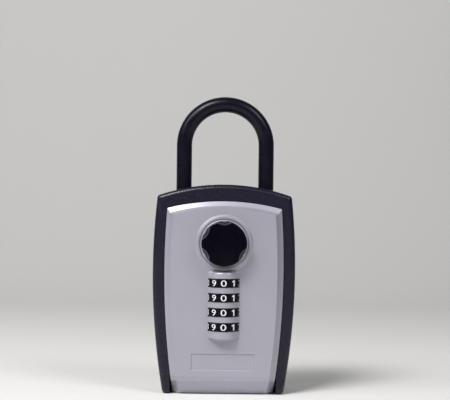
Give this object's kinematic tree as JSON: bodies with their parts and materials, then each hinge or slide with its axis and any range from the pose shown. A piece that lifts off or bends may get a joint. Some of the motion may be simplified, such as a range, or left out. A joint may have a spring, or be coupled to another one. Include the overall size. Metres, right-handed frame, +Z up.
{
  "type": "combination key safe",
  "caption": "Combination key safe with a removable sleeved shackle, a drop-down door, a fluted knob and number wheels whose sleeves free the latch.",
  "frame": {"origin": "middle of the overall box in X and Y, on the flat base in Z", "axes": "+X to the right as seen from the front, front faces -Y, +Z up along the shackle's legs"},
  "size_m": [0.093, 0.0548, 0.195],
  "materials": {
    "body_powder_coat": "satin",
    "cover_silver": "satin",
    "knob_black": "gloss",
    "wheel_black": "satin",
    "shackle_vinyl": "gloss",
    "hardened_steel": "satin",
    "plated_steel": "satin",
    "blackened_steel": "satin",
    "spring_steel": "satin",
    "sleeve_brass": "satin",
    "reset_zinc": "satin",
    "numeral_white": "matte"
  },
  "bodies": {
    "root": {"body_shell": "body_powder_coat", "hinge_pin": "blackened_steel", "shackle_guide": "plated_steel", "guide_screws": "plated_steel"},
    "shackle": {"shackle_core": "hardened_steel", "shackle_sleeve": "shackle_vinyl"},
    "shackle_lock": {"shackle_lock_plate": "plated_steel"},
    "door": {"door_cover": "cover_silver", "door_back_plate": "plated_steel", "back_plate_screws": "plated_steel", "latch_studs": "plated_steel", "detent_spring": "spring_steel", "detent_screws": "plated_steel", "reset_spring": "spring_steel"},
    "latch": {"latch_slide": "plated_steel"},
    "knob": {"knob_cap": "knob_black", "knob_skirt": "cover_silver", "knob_shaft": "plated_steel", "knob_clip": "spring_steel", "knob_crank": "plated_steel", "crank_screw": "plated_steel"},
    "reset": {"wheel_spindle": "plated_steel", "spindle_clip": "spring_steel", "reset_slider": "reset_zinc"},
    "wheel_1": {"number_wheel_1": "wheel_black"},
    "sleeve_1": {"code_sleeve_1": "sleeve_brass"},
    "wheel_2": {"number_wheel_2": "wheel_black"},
    "sleeve_2": {"code_sleeve_2": "sleeve_brass"},
    "wheel_3": {"number_wheel_3": "wheel_black"},
    "sleeve_3": {"code_sleeve_3": "sleeve_brass"},
    "wheel_4": {"number_wheel_4": "wheel_black"},
    "sleeve_4": {"code_sleeve_4": "sleeve_brass"}
  },
  "joints": [
    {"name": "door_hinge", "type": "hinge", "parent": "root", "child": "door", "pos_m": [0, -0.0061, 0.0056], "axis": [1, 0, 0], "range_deg": [0, 105]},
    {"name": "knob_turn", "type": "hinge", "parent": "door", "child": "knob", "pos_m": [0, -0.0184, 0.0982], "axis": [0, -1, 0], "range_deg": [0, 60]},
    {"name": "latch_travel", "type": "slide", "parent": "door", "child": "latch", "axis": [0, 0, 1], "range_m": [0, 0.0026]},
    {"name": "reset_push", "type": "slide", "parent": "door", "child": "reset", "axis": [0, 0, -1], "range_m": [0, 0.0015], "stiffness_N_per_m": 500, "springref_m": -0.003, "deforming": ["reset_spring"]},
    {"name": "shackle_lift", "type": "slide", "parent": "root", "child": "shackle", "axis": [0, 0, 1], "range_m": [0, 0.035]},
    {"name": "shackle_lock_slide", "type": "slide", "parent": "root", "child": "shackle_lock", "axis": [1, 0, 0], "range_m": [0, 0.002]},
    {"name": "wheel_1_turn", "type": "hinge", "parent": "door", "child": "wheel_1", "pos_m": [0, -0.01475, 0.0729], "axis": [0, 0, 1], "continuous": true},
    {"name": "sleeve_1_shift", "type": "slide", "parent": "wheel_1", "child": "sleeve_1", "axis": [0, 0, -1], "range_m": [0, 0.0015]},
    {"name": "wheel_2_turn", "type": "hinge", "parent": "door", "child": "wheel_2", "pos_m": [0, -0.01475, 0.06348], "axis": [0, 0, 1], "continuous": true},
    {"name": "sleeve_2_shift", "type": "slide", "parent": "wheel_2", "child": "sleeve_2", "axis": [0, 0, -1], "range_m": [0, 0.0015]},
    {"name": "wheel_3_turn", "type": "hinge", "parent": "door", "child": "wheel_3", "pos_m": [0, -0.01475, 0.05406], "axis": [0, 0, 1], "continuous": true},
    {"name": "sleeve_3_shift", "type": "slide", "parent": "wheel_3", "child": "sleeve_3", "axis": [0, 0, -1], "range_m": [0, 0.0015]},
    {"name": "wheel_4_turn", "type": "hinge", "parent": "door", "child": "wheel_4", "pos_m": [0, -0.01475, 0.04464], "axis": [0, 0, 1], "continuous": true},
    {"name": "sleeve_4_shift", "type": "slide", "parent": "wheel_4", "child": "sleeve_4", "axis": [0, 0, -1], "range_m": [0, 0.0015]}
  ],
  "couplings": [
    {"joint": "knob_turn", "follows": "latch_travel", "rad_per_m": 402.77},
    {"joint": "sleeve_1_shift", "follows": "reset_push", "ratio": 1},
    {"joint": "sleeve_2_shift", "follows": "reset_push", "ratio": 1},
    {"joint": "sleeve_3_shift", "follows": "reset_push", "ratio": 1},
    {"joint": "sleeve_4_shift", "follows": "reset_push", "ratio": 1}
  ]
}
